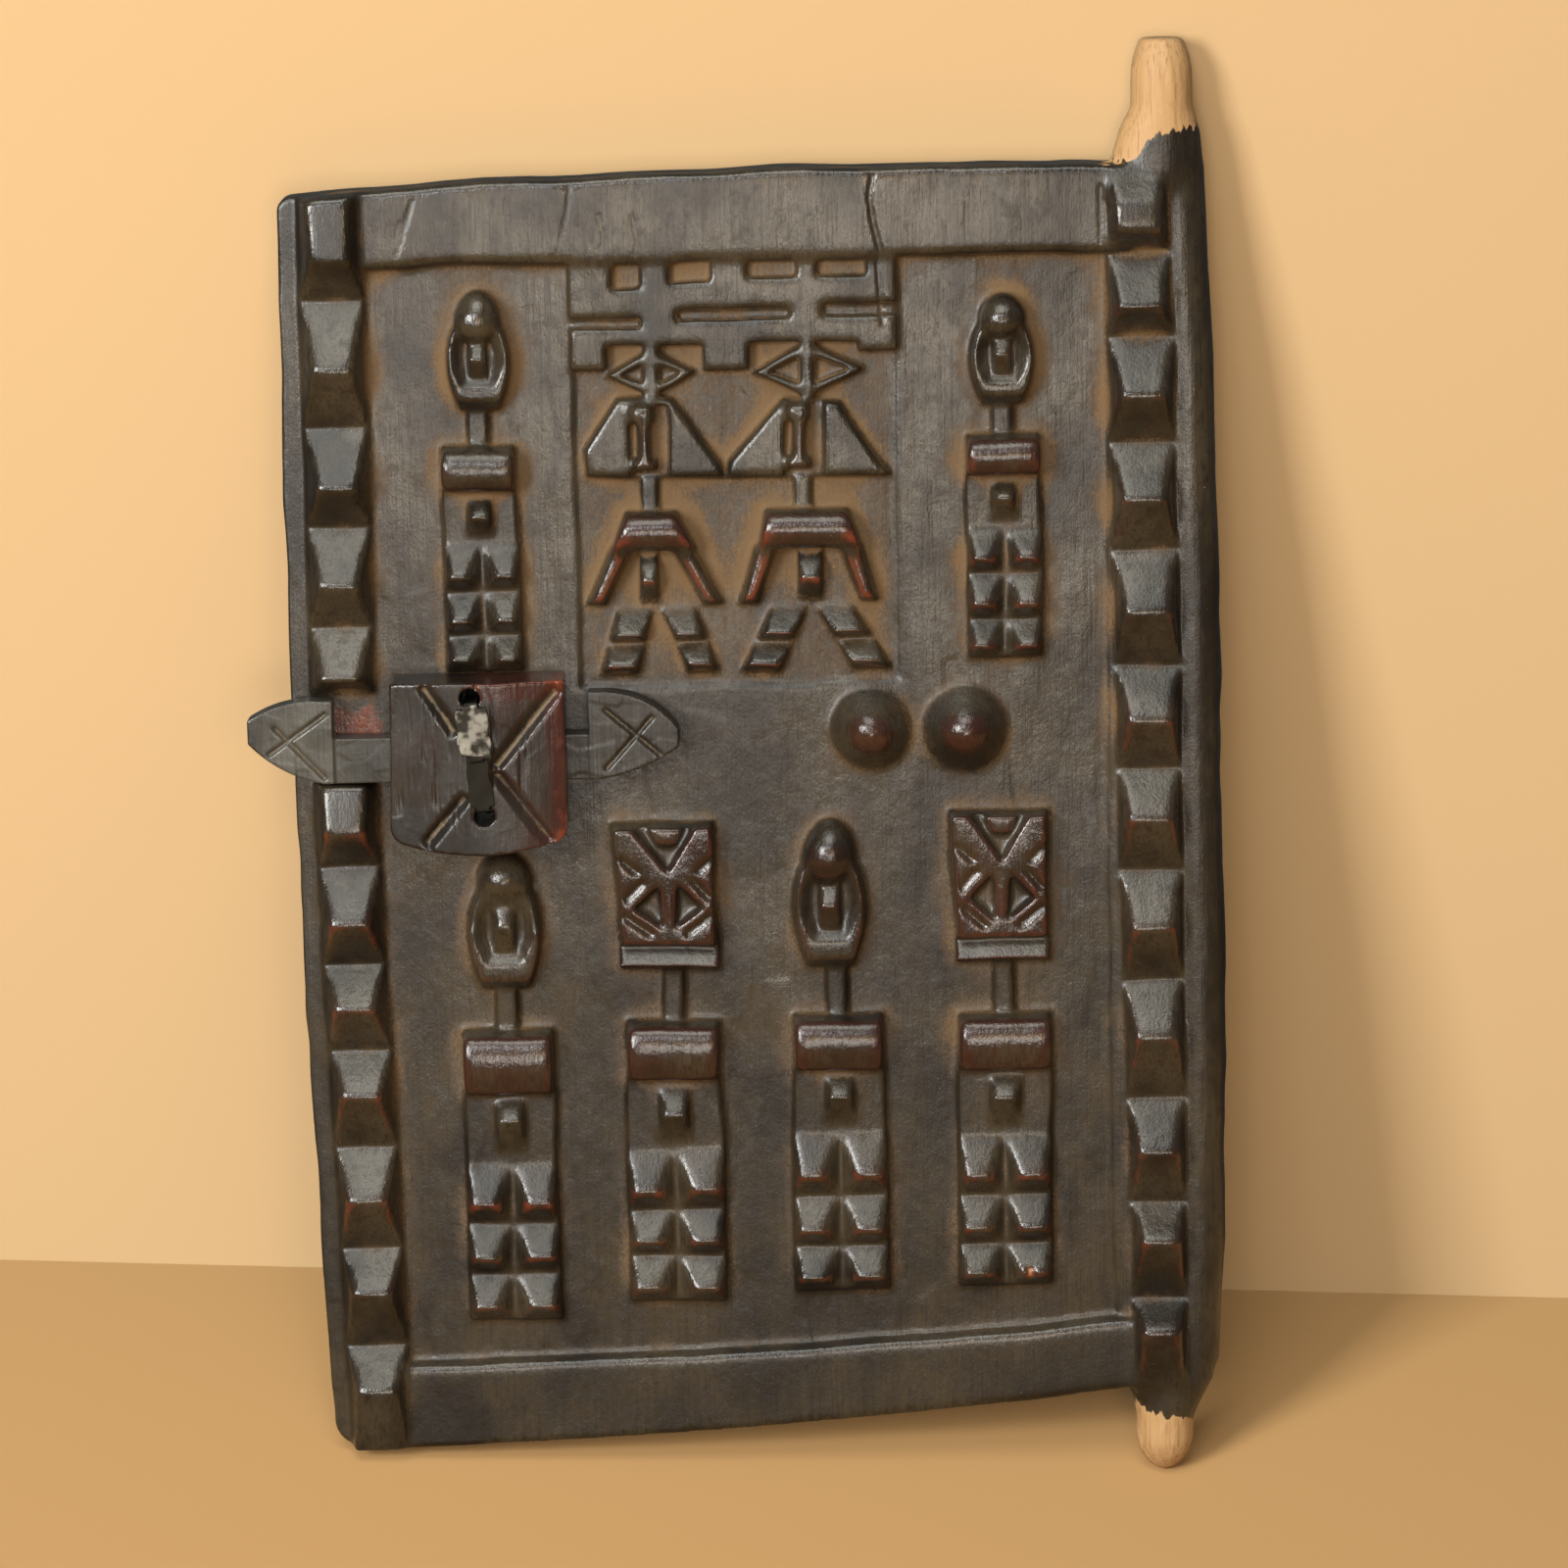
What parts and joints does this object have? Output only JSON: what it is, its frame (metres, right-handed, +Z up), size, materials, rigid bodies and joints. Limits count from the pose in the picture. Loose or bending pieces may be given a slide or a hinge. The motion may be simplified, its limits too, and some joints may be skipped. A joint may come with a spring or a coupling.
{
  "type": "granary door",
  "caption": "Carved wooden granary door that turns on whittled pivot pegs, with toothed edges, masked relief figures, round bosses and a lock case with a sliding bolt and tin strap.",
  "frame": {"origin": "on the pivot axis, half-way along the straight bearing length of the lower pivot peg, seven millimetres in front of the flat back", "axes": "+X from the closing edge towards the hinge post; +Z up along the pivot axis; -Y out of the carved face, so +Y is the outward normal of the flat back"},
  "size_m": [0.2236, 0.0262, 0.3361],
  "materials": {
    "plank_wood": "hand-carved hardwood, blackened and waxed, worn reddish on the high edges, dusty in the hollows",
    "case_wood": "blackened wood polished by handling, worn red-brown along the edges",
    "bolt_wood": "weathered dark hardwood, dull",
    "tin": "dulled tin-plated sheet, dark in the folds"
  },
  "bodies": {
    "door": {"door_board": "plank_wood", "lock_block": "case_wood", "tin_strap": "tin"},
    "bolt": {"sliding_bolt": "bolt_wood"}
  },
  "joints": [
    {"name": "bolt_slide", "type": "slide", "parent": "door", "child": "bolt", "axis": [-1, 0, 0], "range_m": [-0.0123, 0.005]}
  ]
}
